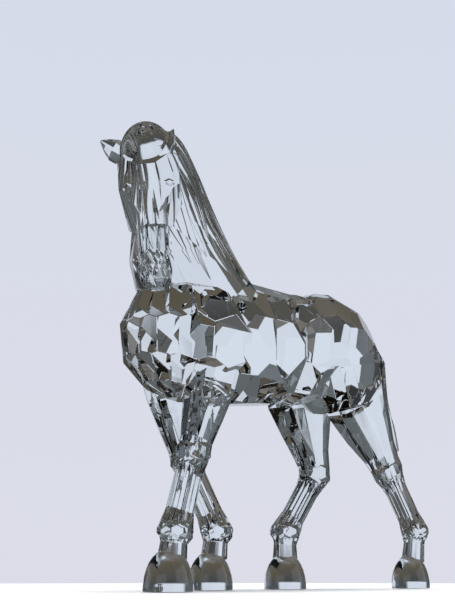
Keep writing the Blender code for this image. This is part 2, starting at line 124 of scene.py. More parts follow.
def cut_stone(name, centre, planes, size, turn=None, arris=ARRIS):
    """A convex stone: a block cut by flat planes, each a normal and a distance from the centre."""
    turn = turn or Matrix.Identity(3)
    centre = Vector(centre)
    mesh = bmesh.new()
    bmesh.ops.create_cube(mesh, size=2.0 * size, matrix=Matrix.Translation(centre))
    for normal, distance in planes:
        normal = turn @ Vector(normal).normalized()
        everything = mesh.verts[:] + mesh.edges[:] + mesh.faces[:]
        cut = bmesh.ops.bisect_plane(
            mesh, geom=everything, dist=0.0001, plane_co=centre + normal * distance,
            plane_no=normal, clear_outer=True,
        )
        rim = [part for part in cut["geom_cut"] if isinstance(part, bmesh.types.BMEdge)]
        if len(rim) > 2:
            bmesh.ops.contextual_create(mesh, geom=rim)
    bmesh.ops.remove_doubles(mesh, verts=mesh.verts[:], dist=0.001)
    if arris:
        break_edges(mesh, arris)
    return finish(name, mesh)


# %% [markdown]
# ## Facets that follow a rounded mass
# The chest, flank and quarters aren't blocks but swelling forms, covered with facets laid like
# bricks. To place such a facet, choose only the way it faces. Its distance from the middle is
# then the distance at which a plane facing that way touches the swelling form, and there is a
# formula for that when the form is an ellipsoid, or one a little squarer than that.

# %% Rounded masses
ROUND = 2.0
FULL = 2.1
FULLER = 2.2


def reach(normal, half, squareness):
    """Distance from the centre to the plane that touches the rounded mass and faces along the normal."""
    q = squareness / (squareness - 1.0)
    return sum((h * abs(n)) ** q for h, n in zip(half, normal)) ** (1.0 / q)


def both_sides(azimuths):
    """The azimuths given, and the same on the other side of the centre line."""
    return list(azimuths) + [-a for a in azimuths if a % 180.0]


def rounded_mass(name, centre, half, rows, squareness, turn=None):
    planes = []
    for elevation, azimuths in rows:
        for azimuth in both_sides(azimuths):
            normal = direction(azimuth, elevation)
            planes.append((normal, reach(normal, half, squareness)))
    return cut_stone(name, centre, planes, 2.0 * max(half), turn)


# %% [markdown]
# ## The trunk
# Four stones make the trunk: the forehand with its deep chest, the barrel of the ribs, the flank
# behind it and the sloping quarters. The barrel is special. On each side it has one large
# eight-sided flat that works as a window, and a ring of narrower facets leans away all round it.
# A stranger sees the background through the window, and dark bands in the ring.

# %% Forehand, flank and quarters
FOREHAND_ROWS = (
    (-88.0, (0.0,)),
    (-66.0, (0.0, 36.0, 72.0, 108.0, 144.0)),
    (-40.0, (11.0, 33.0, 55.0, 78.0, 108.0, 145.0)),
    (-6.0, (0.0, 22.0, 44.0, 66.0, 93.0, 128.0)),
    (26.0, (11.0, 33.0, 55.0, 80.0, 112.0, 145.0)),
    (62.0, (0.0, 36.0, 72.0, 108.0, 150.0)),
)
FLANK_ROWS = (
    (-70.0, (60.0, 120.0)),
    (-36.0, (70.0, 110.0)),
    (0.0, (50.0, 90.0, 130.0)),
    (34.0, (70.0, 110.0)),
    (64.0, (60.0, 120.0)),
    (88.0, (0.0,)),
)
QUARTERS_ROWS = (
    (-60.0, (0.0, 60.0, 120.0, 180.0)),
    (-30.0, (26.0, 56.0, 82.0, 108.0, 136.0, 164.0)),
    (0.0, (40.0, 70.0, 94.0, 118.0, 146.0, 180.0)),
    (28.0, (26.0, 56.0, 82.0, 106.0, 132.0, 160.0)),
    (55.0, (0.0, 44.0, 86.0, 124.0, 180.0)),
    (80.0, (0.0, 180.0)),
)
QUARTERS_SLOPE = Matrix.Rotation(math.radians(-13.0), 3, "X")

trunk = [
    rounded_mass("forehand", (0.0, -20.0, 82.0), (18.0, 25.0, 20.5), FOREHAND_ROWS, FULL),
    rounded_mass("flank", (0.0, 33.0, 86.5), (15.8, 18.0, 20.0), FLANK_ROWS, FULLER),
    rounded_mass("quarters", (0.0, 54.0, 88.0), (16.6, 24.0, 21.3), QUARTERS_ROWS, FULLER, QUARTERS_SLOPE),
]
print("facets of the trunk so far:", sum(len(stone.data.polygons) for stone in trunk))

# %% The barrel with its windows
BARREL_CENTRE = (0.0, 6.0, 85.0)
BARREL_HALF = (18.0, 34.0, 22.3)
WINDOW_MIDDLE = (5.3, 80.5)
WINDOW_OUT = 17.2
RIB_FACETS = (
    (0.0, 16.5, 32.0), (45.0, 14.6, 32.0), (90.0, 10.6, 32.5), (135.0, 14.6, 26.0),
    (180.0, 16.5, 30.0), (225.0, 14.6, 32.0), (270.0, 11.2, 36.0), (309.0, 11.0, 38.0),
)


def facing(normal, point, centre):
    """A plane through a point, as a normal and a distance from the centre of its stone."""
    normal = Vector(normal).normalized()
    return normal, normal.dot(Vector(point) - Vector(centre))


def barrel():
    along, height = WINDOW_MIDDLE
    planes = [facing((0.0, 0.0, 1.0), (0.0, 0.0, 107.0), BARREL_CENTRE)]
    planes.append(facing((0.0, 0.1, -1.0), (0.0, 6.0, 63.0), BARREL_CENTRE))
    for side in (1.0, -1.0):
        planes.append(facing((side, 0.0, 0.0), (side * WINDOW_OUT, 0.0, 0.0), BARREL_CENTRE))
        for angle, far, lean in RIB_FACETS:
            a = math.radians(angle)
            t = math.radians(lean)
            normal = (side * math.cos(t), math.sin(t) * math.cos(a), math.sin(t) * math.sin(a))
            point = (side * WINDOW_OUT, along + far * math.cos(a), height + far * math.sin(a))
            planes.append(facing(normal, point, BARREL_CENTRE))
        planes.append(facing((side * 0.55, 0.0, 0.83), (side * 10.5, 0.0, 101.5), BARREL_CENTRE))
        for azimuth in (38.0, 62.0, 84.0, 106.0, 130.0):
            normal = direction(side * azimuth, -62.0)
            planes.append((normal, reach(normal, BARREL_HALF, FULL)))
        for azimuth in (28.0, 150.0):
            normal = direction(side * azimuth, 0.0)
            planes.append((normal, reach(normal, BARREL_HALF, FULL)))
    return cut_stone("barrel", BARREL_CENTRE, planes, 60.0)


trunk.append(barrel())
print("facets of the barrel:", len(trunk[-1].data.polygons))

# %% [markdown]
# ## Prisms
# Neck, nose, legs and tail run along a line and change their section as they go. A cutter grinds
# them as prisms. In Blender that is a loft: rings of points, each joined to the next. A face of
# four corners is only flat by luck, so where it isn't, it is split along the diagonal that
# bulges, as a cutter would leave it.

# %% Lofts and smooth curves
def loft(name, rings, kind=CUT, arris=0.0):
    """A closed body through rings of the same number of points, with flat ends."""
    mesh = bmesh.new()
    loops = [[mesh.verts.new(point) for point in ring] for ring in rings]
    count = len(rings[0])
    mesh.faces.new(list(reversed(loops[0])))
    mesh.faces.new(loops[-1])
    for low, high in zip(loops, loops[1:]):
        for i in range(count):
            j = (i + 1) % count
            a, b, c, d = low[i], low[j], high[j], high[i]
            normal = (b.co - a.co).cross(d.co - a.co)
            flat = normal.length and abs((c.co - a.co).dot(normal.normalized())) < 0.01
            if flat or kind == ROUNDED:
                mesh.faces.new((a, b, c, d))
            elif (c.co - a.co).dot(normal) < 0.0:
                mesh.faces.new((a, b, c))
                mesh.faces.new((a, c, d))
            else:
                mesh.faces.new((a, b, d))
                mesh.faces.new((b, c, d))
    bmesh.ops.recalc_face_normals(mesh, faces=mesh.faces[:])
    if arris:
        break_edges(mesh, arris)
    return finish(name, mesh, kind)


def through(table, position):
    """A smooth curve through the rows of a table, at a position counted in rows."""
    last = len(table) - 1
    i = max(0, min(int(position), last - 1))
    t = position - i
    p0, p1, p2, p3 = [Vector(table[min(max(i + k, 0), last)]) for k in (-1, 0, 1, 2)]
    return 0.5 * (
        2.0 * p1 + (p2 - p0) * t + (2.0 * p0 - 5.0 * p1 + 4.0 * p2 - p3) * t * t
        + (3.0 * p1 - p0 - 3.0 * p2 + p3) * t * t * t
    )


# %% [markdown]
# ## The neck
# The neck rises from the chest, arches along the crest, and bends a little to the horse's right,
# because the head turns to its left. It is a prism with broad panels. Two of them, between the
# cheek and the mane, are the palest parts of the whole piece.

# %% Neck
NECK_THROAT = (
    (-33.0, 86.0), (-38.6, 96.0), (-39.4, 107.0), (-38.8, 117.0),
    (-39.4, 128.0), (-44.0, 139.0), (-46.0, 146.0),
)
NECK_CREST = (
    (17.0, 98.0), (6.0, 107.0), (-7.0, 118.5), (-15.8, 129.5),
    (-22.3, 140.5), (-28.0, 149.0), (-34.0, 152.5),
)
NECK_HALF_WIDTH = (15.0, 15.0, 14.6, 12.6, 9.8, 7.8, 6.0)
NECK_OFFSET = (0.0, -2.4, -4.2, -3.8, -1.8, 0.0, 0.5)
NECK_SIDES = 12


def neck_frame(position):
    """Middle of the neck, half its depth as a vector towards the crest, and its half width."""
    throat = through([(x, y, z) for x, (y, z) in zip(NECK_OFFSET, NECK_THROAT)], position)
    crest = through([(0.0, y, z) for y, z in NECK_CREST], position)
    width = through([(w, 0.0, 0.0) for w in NECK_HALF_WIDTH], position).x
    return (throat + crest) / 2.0, (crest - throat) / 2.0, width


def neck_point(position, angle, lift=0.0):
    """A point on the neck: angle in degrees from the left side (0) to the crest (90)."""
    middle, depth, width = neck_frame(position)
    a = math.radians(angle)
    across = Vector((1.0, 0.0, 0.0)) * (width + lift)
    crestward = depth.normalized() * (depth.length + lift)
    return middle + across * math.cos(a) + crestward * math.sin(a)


def neck():
    rings = [
        [neck_point(station, 360.0 * (i + 0.5) / NECK_SIDES) for i in range(NECK_SIDES)]
        for station in range(len(NECK_CREST))
    ]
    return loft("neck", rings, arris=ARRIS)


necks = [neck()]
print("facets of the neck:", len(necks[0].data.polygons))

# %% [markdown]
# ## The mane
# The mane is carved as long, smooth, slightly waved locks that fall from the poll to the withers.
# Each one works as a cylindrical lens, so the mane shows as long grey bands with thin bright
# lines. A hair system would be the usual way to make a mane, but this is glass: each lock is a
# loft with a rounded section that follows the side of the neck, and neighbours overlap, so that
# they melt together.

# %% Mane
MANE_LOCKS = 7
MANE_STEPS = 26
MANE_SIDES = 12


def mane_lock(side, order):
    """One lock, from behind the poll down the neck, flat, gently waved and tapering."""
    angle = 86.0 - 13.0 * order
    low = 0.55 + 0.27 * order + 0.2 * (order % 2)
    high = 5.9 - 0.05 * order
    rings = []
    for s in range(MANE_STEPS + 1):
        share = s / MANE_STEPS
        position = low + (high - low) * share
        wave = 3.5 * math.sin(2.6 * math.pi * share + 1.9 * order)
        turned = angle + wave
        if side < 0.0:
            turned = 180.0 - turned
        lift = -0.35 + 0.3 * (order % 2)
        here = neck_point(position, turned, lift)
        out = (neck_point(position, turned, lift + 1.0) - here).normalized()
        ahead = (neck_point(position + 0.05, turned, lift) - here).normalized()
        across = ahead.cross(out).normalized()
        full = math.sin(math.pi * min(1.0, 0.06 + 1.5 * share) / 2.0)
        half = 2.0 * full * (1.0 - 0.3 * share * share)
        ring = []
        for i in range(MANE_SIDES):
            a = 2.0 * math.pi * i / MANE_SIDES
            ring.append(here + (across * 1.35 * math.cos(a) + out * 0.8 * math.sin(a)) * half)
        rings.append(ring)
    return loft("mane lock", rings, ROUNDED)


manes = [mane_lock(side, order) for side in (1.0, -1.0) for order in range(MANE_LOCKS)]
print("locks of the mane:", len(manes))

# %% [markdown]
# ## The head
# The head turns to the horse's left and looks at the viewer. It is small and rich in detail:
# a shield-shaped forehead, flat cheeks, a straight nose and a short rounded muzzle. It is drawn
# in a frame of its own, measured from the poll: to the left, forward and up.

# %% Head frame, skull and cheeks
POLL = Vector((0.0, -39.6, 141.0))
HEAD = Matrix.Rotation(math.radians(38.0), 3, "Z") @ Matrix.Rotation(math.radians(-5.6), 3, "Y")
SKULL_CENTRE_FLATS = (
    ((0.0, -1.0, 0.02), 9.6),
    ((0.0, -0.84, 0.55), 9.6),
    ((0.0, -0.45, 0.9), 12.0),
    ((0.0, 0.3, -1.0), 16.0),
    ((0.0, 1.0, 0.0), 8.0),
    ((0.0, 0.0, 1.0), 13.0),
)
SKULL_SIDE_FLATS = (
    ((0.42, -0.9, 0.05), 10.0),
    ((0.8, -0.6, 0.1), 10.6),
    ((1.0, 0.05, 0.0), 10.0),
    ((0.85, -0.3, -0.42), 11.6),
    ((0.6, -0.35, -0.7), 15.2),
    ((0.7, -0.3, 0.65), 12.4),
)
CHEEKS_ROWS = (
    (-55.0, (0.0, 60.0, 120.0, 180.0)),
    (-20.0, (30.0, 62.0, 90.0, 118.0, 150.0)),
    (15.0, (0.0, 50.0, 78.0, 104.0, 140.0)),
    (55.0, (0.0, 90.0, 180.0)),
)


def head_place(across, forward, up):
    """A place on the head from the poll: to the horse's left, forward and up."""
    return POLL + HEAD @ Vector((across, -forward, up))


def skull():
    planes = list(SKULL_CENTRE_FLATS)
    for side in (1.0, -1.0):
        planes += [((side * x, y, z), distance) for (x, y, z), distance in SKULL_SIDE_FLATS]
    return cut_stone("skull", head_place(0.0, 1.0, -8.0), planes, 24.0, HEAD)


head = [
    skull(),
    rounded_mass("cheeks", head_place(0.0, -2.0, -11.5), (8.4, 9.0, 12.5), CHEEKS_ROWS, FULL, HEAD),
]
print("facets of the skull and cheeks:", [len(stone.data.polygons) for stone in head])

# %% [markdown]
# ## Forelock
# Between the ears sits the forelock, a smooth polished dome. It is the only large surface on the
# head without facets, and it shows as an even grey.

# %% Forelock
FORELOCK_MIDDLE = Vector((-0.3, 1.2, 1.5))
FORELOCK_HALF = Vector((9.2, 9.0, 11.4))
DOME_SIDES = 56
DOME_ROWS = 28


def dome(name, middle, half, turn_place, sides=DOME_SIDES, rows=DOME_ROWS):
    """A smooth egg, drawn ring by ring, in the frame that turn_place gives."""
    rings = []
    for r in range(1, rows):
        e = math.pi * (r / rows - 0.5)
        ring = []
        for i in range(sides):
            a = 2.0 * math.pi * i / sides
            ring.append(turn_place(
                middle[0] + half[0] * math.cos(e) * math.sin(a),
                middle[1] + half[1] * math.cos(e) * math.cos(a),
                middle[2] + half[2] * math.sin(e),
            ))
        rings.append(ring)
    return loft(name, rings, ROUNDED)


head.append(dome("forelock", FORELOCK_MIDDLE, FORELOCK_HALF, head_place))
print("faces of the forelock:", len(head[-1].data.polygons))

# %% [markdown]
# ## Nose and muzzle
# The lower face is a straight prism of ten sides. At the muzzle it widens slightly, and below the
# lips it closes.

# %% Nose
NOSE_RINGS = (
    (-12.0, 2.8, 6.4, 8.0, 0.5), (-21.0, 5.2, 5.4, 6.9, 0.5), (-29.0, 7.2, 5.1, 5.6, 0.5),
    (-35.0, 8.4, 5.0, 4.9, 0.5), (-38.5, 8.9, 5.4, 4.9, 0.0), (-42.0, 9.1, 5.5, 4.8, 0.5),
    (-45.0, 9.1, 4.9, 4.2, 0.0), (-47.3, 8.9, 3.2, 2.7, 0.5),
)
NOSE_SIDES = 10


def nose_ring(up, forward, half_width, half_depth, turn, sides=NOSE_SIDES):
    ring = []
    for i in range(sides):
        a = 2.0 * math.pi * (i + turn) / sides
        ring.append(head_place(half_width * math.sin(a), forward + half_depth * math.cos(a), up))
    return ring


head.append(loft("nose", [nose_ring(*row) for row in NOSE_RINGS], arris=0.09))
print("facets of the nose:", len(head[-1].data.polygons))

# %% [markdown]
# ## Small gems
# Eyes, knees, fetlocks and ergots are tiny stones with a girdle of eight facets and eight more
# above and below. One function cuts them all.

# %% Eyes
def small_gem(name, centre, half, turn=None, arris=0.06):
    """A small stone with a girdle of eight facets, eight above and below, and flat ends."""
    step = 45.0
    planes = [((0.0, 0.0, 1.0), half[2]), ((0.0, 0.0, -1.0), half[2])]
    for elevation, first in ((-40.0, 0.0), (0.0, 0.5 * step), (40.0, 0.0)):
        for i in range(8):
            normal = direction(first + step * i, elevation)
            planes.append((normal, reach(normal, half, ROUND)))
    return cut_stone(name, centre, planes, 2.0 * max(half), turn, arris)


for side in (1.0, -1.0):
    head.append(small_gem("eye", head_place(side * 6.2, 7.9, -12.0), (2.5, 1.9, 1.5), HEAD))
print("pieces of the head:", len(head))

# %% [markdown]
# ## Ears
# The right ear stands out sideways and the left one is seen nearly edge on. Each is a short prism
# of eight sides that swells and then runs to a point.

# %% Ears
EAR_SHAPE = ((-0.2, 0.45), (0.12, 0.95), (0.4, 1.0), (0.72, 0.6), (1.0, 0.08))
EAR_SIDES = 8


def ear(name, base, tip, half_width, half_depth):
    base = head_place(*base)
    tip = head_place(*tip)
    along = (tip - base).normalized()
    side = along.cross(Vector((0.0, -1.0, 0.0))).normalized()
    front = side.cross(along).normalized()
    rings = []
    for share, width in EAR_SHAPE:
        middle = between(base, tip, share)
        ring = []
        for i in range(EAR_SIDES):
            a = 2.0 * math.pi * i / EAR_SIDES
            outward = side * half_width * math.cos(a) + front * half_depth * math.sin(a)
            ring.append(middle + outward * width)
        rings.append(ring)
    return loft(name, rings, arris=0.07)


head.append(ear("right ear", (-8.0, 2.0, 1.5), (-15.5, 2.0, 8.0), 4.0, 2.4))
head.append(ear("left ear", (4.6, 6.6, -2.0), (9.4, 2.0, 9.0), 3.8, 2.8))
print("facets of the ears:", [len(stone.data.polygons) for stone in head[-2:]])

# %% [markdown]
# ## Legs
# A leg is one prism that bends at its joints. What makes it look like cut glass is its section:
# a long flat on each side, facing its twin across the leg, with narrow chamfers in front and
# behind. The background shows through the two flats, and the chamfers go dark, so each leg has a
# pale middle between dark edges. On the shin the side flat has a groove in it, between the bone
# in front and the tendon behind.

# %% Section of a leg
LEG_SECTION = (
    (0.40, 1.00), (0.80, 0.80), (1.00, 0.45), (1.00, 0.02),
    (1.00, -0.22), (1.00, -0.48), (0.82, -0.80), (0.42, -1.00),
)
GROOVE_POINT = 4


def leg_section(half_width, half_depth, groove):
    """Points round the section as (across, forward), from the front round the left side to the right."""
    left = []
    for k, (across, forward) in enumerate(LEG_SECTION):
        if k == GROOVE_POINT:
            across -= groove
        left.append((across * half_width, forward * half_depth))
    return left + [(-across, forward) for across, forward in reversed(left)]


# %% Stations down a leg: bone, share of it, half width, half depth, groove
RIGHT_FORE = ((-10.3, -21.0, 74.0), (-10.0, -9.5, 42.0), (-9.5, 5.0, 20.0), (-9.0, 1.2, 0.0))
LEFT_HIND = (
    (8.6, 57.0, 96.0), (10.2, 62.0, 69.0), (9.5, 82.5, 44.0), (8.5, 101.5, 22.0), (8.0, 98.0, 0.0),
)
RIGHT_HIND = (
    (-8.6, 51.0, 96.0), (-10.2, 53.5, 69.0), (-9.5, 61.0, 42.5), (-8.5, 41.0, 20.5), (-8.0, 40.3, 0.0),
)
FORE_STATIONS = (
    (0, -0.18, 4.8, 8.4, 0.0),
    (0, 0.04, 5.5, 9.6, 0.0),
    (0, 0.30, 5.6, 9.0, 0.0),
    (0, 0.60, 4.9, 7.0, 0.0),
    (0, 0.86, 4.0, 5.3, 0.0),
    (0, 0.97, 4.4, 5.3, 0.0),
    (1, 0.10, 4.1, 4.9, 0.0),
    (1, 0.22, 3.4, 4.5, 0.35),
    (1, 0.74, 3.3, 4.7, 0.35),
    (1, 0.88, 3.8, 5.3, 0.1),
    (1, 0.98, 4.2, 5.6, 0.0),
    (2, 0.10, 3.8, 5.0, 0.0),
    (2, 0.20, 3.3, 4.2, 0.0),
    (2, 0.45, 3.7, 4.5, 0.0),
)
HIND_STATIONS = (
    (0, 0.00, 5.8, 9.6, 0.0),
    (0, 0.50, 7.6, 18.0, 0.0),
    (1, 0.00, 7.2, 16.2, 0.0),
    (1, 0.34, 6.0, 12.2, 0.0),
    (1, 0.70, 4.6, 8.2, 0.0),
    (1, 0.90, 4.3, 6.9, 0.0),
    (2, 0.02, 4.4, 6.7, 0.0),
    (2, 0.16, 3.7, 5.3, 0.1),
    (2, 0.30, 3.3, 4.5, 0.3),
    (2, 0.76, 3.3, 4.5, 0.3),
    (2, 0.90, 3.9, 5.2, 0.1),
    (2, 0.99, 4.2, 5.5, 0.0),
    (3, 0.11, 3.8, 4.8, 0.0),
    (3, 0.22, 3.3, 4.1, 0.0),
    (3, 0.52, 3.7, 4.5, 0.0),
)


def bend_at(joints, bone, share):
    """The way the leg runs at a station, turning gradually through the joints above and below."""
    along = (joints[bone + 1] - joints[bone]).normalized()
    if share < 0.3 and bone > 0:
        before = (joints[bone] - joints[bone - 1]).normalized()
        along = between(before, along, 0.5 + share / 0.6).normalized()
    if share > 0.7 and bone + 2 < len(joints):
        after = (joints[bone + 2] - joints[bone + 1]).normalized()
        along = between(along, after, (share - 0.7) / 0.6).normalized()
    return along


def leg(name, joints, stations):
    joints = [Vector(j) for j in joints]
    across = Vector((1.0, 0.0, 0.0))
    rings = []
    for bone, share, half_width, half_depth, groove in stations:
        here = between(joints[bone], joints[bone + 1], share)
        forward = bend_at(joints, bone, share).cross(across).normalized()
        if forward.y > 0.0:
            forward = -forward
        rings.append([
            here + across * x + forward * y for x, y in leg_section(half_width, half_depth, groove)
        ])
    return loft(name, rings, arris=0.10)


# %% [markdown]
# ## Joints, ergots and hooves
# The knee and the fetlock swell a little, with small facets of their own. Behind each fetlock is
# a tiny knob, the ergot. The hoof is polished round like a bell, so the facets of the pastern end
# on it in small arcs.

# %% Hoof and small knobs
HOOF_PROFILE = (
    (0.0, 6.55, 8.85), (0.35, 6.7, 9.0), (2.4, 6.65, 8.9), (4.6, 6.4, 8.5), (6.8, 5.9, 7.8),
    (8.8, 5.2, 6.8), (10.4, 4.3, 5.6), (11.6, 3.3, 4.2), (12.3, 2.2, 2.8),
)
HOOF_SIDES = 48


def hoof(joints):
    ground = Vector(joints[-1])
    rings = []
    for height, half_width, half_depth in HOOF_PROFILE:
        ring = []
        for i in range(HOOF_SIDES):
            a = 2.0 * math.pi * i / HOOF_SIDES
            ring.append(ground + Vector((half_width * math.sin(a), -half_depth * math.cos(a), height)))
        rings.append(ring)
    return loft("hoof", rings, ROUNDED)


def knobs(joints, knee):
    """Knee or hock, fetlock and ergot of one leg."""
    fetlock = Vector(joints[-2])
    return [
        small_gem("knee", Vector(joints[knee]) + Vector((0.0, 0.0, 0.6)), (5.0, 5.6, 5.4)),
        small_gem("fetlock", fetlock, (4.7, 5.9, 4.2)),
        small_gem("ergot", fetlock + Vector((0.0, 4.4, -1.6)), (2.4, 2.2, 2.4)),
    ]


legs = []
for name, joints, stations, knee in (
    ("left fore leg", LEFT_FORE, FORE_STATIONS, 1),
    ("right fore leg", RIGHT_FORE, FORE_STATIONS, 1),
    ("left hind leg", LEFT_HIND, HIND_STATIONS, 2),
    ("right hind leg", RIGHT_HIND, HIND_STATIONS, 2),
):
    legs.append(leg(name, joints, stations))
    legs += knobs(joints, knee)
    legs.append(hoof(joints))
print("pieces of the legs:", len(legs))

# %% [markdown]
# ## Tail
# The tail hangs close behind the quarters: three smooth locks, turned round each other a little.

# %% Tail
TAIL_LINE = (
    (0.0, 72.0, 103.0), (0.5, 80.0, 97.5), (1.0, 86.0, 89.0), (1.5, 88.0, 80.0),
    (1.5, 91.0, 72.0), (1.5, 96.0, 63.0), (1.5, 101.5, 54.0),
)
TAIL_HALF = (3.6, 3.7, 3.3, 3.1, 2.9, 2.3, 0.7)
TAIL_STEPS = 24
TAIL_SIDES = 12


def tail_lock(order):
    across = Vector((1.0, 0.0, 0.0))
    last = len(TAIL_LINE) - 1
    rings = []
    for s in range(TAIL_STEPS + 1):
        position = last * s / TAIL_STEPS
        here = through(TAIL_LINE, position)
        ahead = through(TAIL_LINE, min(position + 0.1, last))
        along = (ahead - through(TAIL_LINE, position - 0.1)).normalized()
        back = across.cross(along).normalized()
        half = through([(h, 0.0, 0.0) for h in TAIL_HALF], position).x
        turn = 2.0 * math.pi * order / 3.0 + 0.9 * math.sin(0.8 * position)
        middle = here + (across * math.cos(turn) + back * math.sin(turn)) * half * 0.42
        ring = []
        for i in range(TAIL_SIDES):
            a = 2.0 * math.pi * i / TAIL_SIDES
            ring.append(middle + (across * math.cos(a) + back * math.sin(a)) * half * 0.68)
        rings.append(ring)
    return loft("tail lock", rings, ROUNDED)


tails = [tail_lock(order) for order in range(3)]
print("locks of the tail:", len(tails))

# %% [markdown]
# ## One solid
# So far the stones only overlap. In paint that would do, but in glass each hidden inner wall would
# bend the light again. A Boolean union melts them into one closed skin. The operands sit in a
# collection, so one modifier does it all. A pocket left between stones would be an air bubble,
# so every skin but the outer one is dropped, and the open edges are counted as a check.

# %% Union, and a check for hollows
def melt(body, pieces):
    """Joins the pieces to the body in one solid, and removes them."""
    group = bpy.data.collections.new("stones")
    for piece in pieces:
        group.objects.link(piece)
    modifier = body.modifiers.new("union", "BOOLEAN")
    modifier.operation = "UNION"
    modifier.solver = "MANIFOLD"
    modifier.operand_type = "COLLECTION"
    modifier.collection = group
    graph = bpy.context.evaluated_depsgraph_get()
    made = bpy.data.meshes.new_from_object(body.evaluated_get(graph))
    body.modifiers.clear()
    body.data = made
    for piece in pieces:
        bpy.data.objects.remove(piece, do_unlink=True)
    bpy.data.collections.remove(group)


def shells_of(mesh):
    """The separate skins of a mesh, each a list of faces with the volume that it holds."""
    left = set(mesh.faces)
    found = []
    while left:
        shell = [left.pop()]
        for face in shell:
            for edge in face.edges:
                for other in edge.link_faces:
                    if other in left:
                        left.remove(other)
                        shell.append(other)
        middle = shell[0].calc_center_median()
        volume = sum(
            (face.calc_center_median() - middle).dot(face.normal) * face.calc_area() for face in shell
        ) / 3.0
        found.append((volume, shell))
    return sorted(found, key=lambda row: row[0])


def fill_hollows(body):
    mesh = bmesh.new()
    mesh.from_mesh(body.data)
    shells = shells_of(mesh)
    print("skins, cubic mm:", [round(volume, 2) for volume, shell in shells])
    spare = [face for volume, shell in shells[:-1] for face in shell]
    bmesh.ops.delete(mesh, geom=spare, context="FACES")
    open_edges = sum(1 for edge in mesh.edges if len(edge.link_faces) != 2)
    mesh.to_mesh(body.data)
    mesh.free()
    print("faces:", len(body.data.polygons), "open edges:", open_edges)


horse = trunk[-1]
pieces = trunk[:-1] + necks + manes + head + legs + tails
marks = [bpy.data.materials.new(name) for name in ("cut", "rounded")]
for piece in [horse] + pieces:
    for mark in marks:
        piece.data.materials.append(mark)
melt(horse, pieces)
fill_hollows(horse)

# %% [markdown]
# ## Flat facets, round hair
# A facet has to be shaded flat, and a lock of the mane smooth. The union remembers which stone
# each face came from by its material slot, so the two marks set the shading and then go. Marking
# the sharp edges makes every face smooth on the way, so it is done before the faces are marked.

# %% Shading, and the place in the frame
SHARP_TURN = 40.0

horse.data.set_sharp_from_angle(angle=math.radians(SHARP_TURN))
for face in horse.data.polygons:
    face.use_smooth = face.material_index == ROUNDED
    face.material_index = 0
horse.data.materials.clear()
for mark in marks:
    bpy.data.materials.remove(mark)
horse.data.transform(to_frame)
horse.name = "crystal_horse_glass"
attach(horse, "root")
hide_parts("crystal_horse")
print("rounded faces:", sum(face.use_smooth for face in horse.data.polygons))

# %% [markdown]
# ## Crystal
# Lead crystal bends light more than window glass, with an index near 1.54, and it has hardly any
# colour, only a breath of green. Those are plain numbers, the same all over. Hand polishing leaves
# a facet very slightly wavy, so a soft noise tilts the surface by a hair and keeps the picture
# seen through a facet from being perfectly still.

# %% Crystal material
CRYSTAL_TINT = (0.95, 0.975, 0.975, 1.0)
CRYSTAL_INDEX = 1.54
WAVES_PER_METRE = 60.0
WAVE_HEIGHT = 0.00004


def crystal_finish():
    finish_of_glass = bpy.data.materials.new("polished crystal")
    finish_of_glass.use_nodes = True
    nodes = finish_of_glass.node_tree.nodes
    links = finish_of_glass.node_tree.links
    shader = nodes["Principled BSDF"]
    shader.inputs["Base Color"].default_value = CRYSTAL_TINT
    shader.inputs["Roughness"].default_value = 0.0
    shader.inputs["Transmission Weight"].default_value = 1.0
    shader.inputs["IOR"].default_value = CRYSTAL_INDEX
    place = nodes.new("ShaderNodeTexCoord")
    waves = nodes.new("ShaderNodeTexNoise")
    waves.inputs["Scale"].default_value = WAVES_PER_METRE
    tilt = nodes.new("ShaderNodeBump")
    tilt.inputs["Distance"].default_value = WAVE_HEIGHT
    links.new(place.outputs["Object"], waves.inputs["Vector"])
    links.new(waves.outputs["Fac"], tilt.inputs["Height"])
    links.new(tilt.outputs["Normal"], shader.inputs["Normal"])
    return finish_of_glass


horse.data.materials.append(crystal_finish())
print("index of refraction:", CRYSTAL_INDEX)

# %% [markdown]
# ## The floor
# The horse stands on a plain pale round board. The glass doesn't look at the board, because a
# white board below would fill every facet with white and take the dark edges away.

# %% Floor
FLOOR_RADIUS = 0.36
FLOOR_DROP = 0.0002
FLOOR_COLOUR = (0.88, 0.88, 0.89, 1.0)

disc = bmesh.new()
bmesh.ops.create_circle(disc, cap_ends=True, segments=96, radius=FLOOR_RADIUS)
floor_data = bpy.data.meshes.new("floor")
disc.to_mesh(floor_data)
disc.free()
floor = bpy.data.objects.new("floor", floor_data)
bpy.context.scene.collection.objects.link(floor)
floor.location.z = -FLOOR_DROP
paint = bpy.data.materials.new("pale board")
paint.use_nodes = True
paint.node_tree.nodes["Principled BSDF"].inputs["Base Color"].default_value = FLOOR_COLOUR
paint.node_tree.nodes["Principled BSDF"].inputs["Roughness"].default_value = 0.6
floor_data.materials.append(paint)
floor.visible_transmission = False
floor.visible_glossy = False
print("floor radius, m:", FLOOR_RADIUS)

# %% [markdown]
# ## The room that the glass sees
# Clear glass has no look of its own. It shows the room, bent. A photographer lights it with bright
# panels and dark gaps, so that every edge finds something dark to show. The world here does this
# with two ramps up the wall, one through a panel and one through a gap, and a third ramp round the
# room that chooses between them. The camera itself sees only a plain pale backdrop.

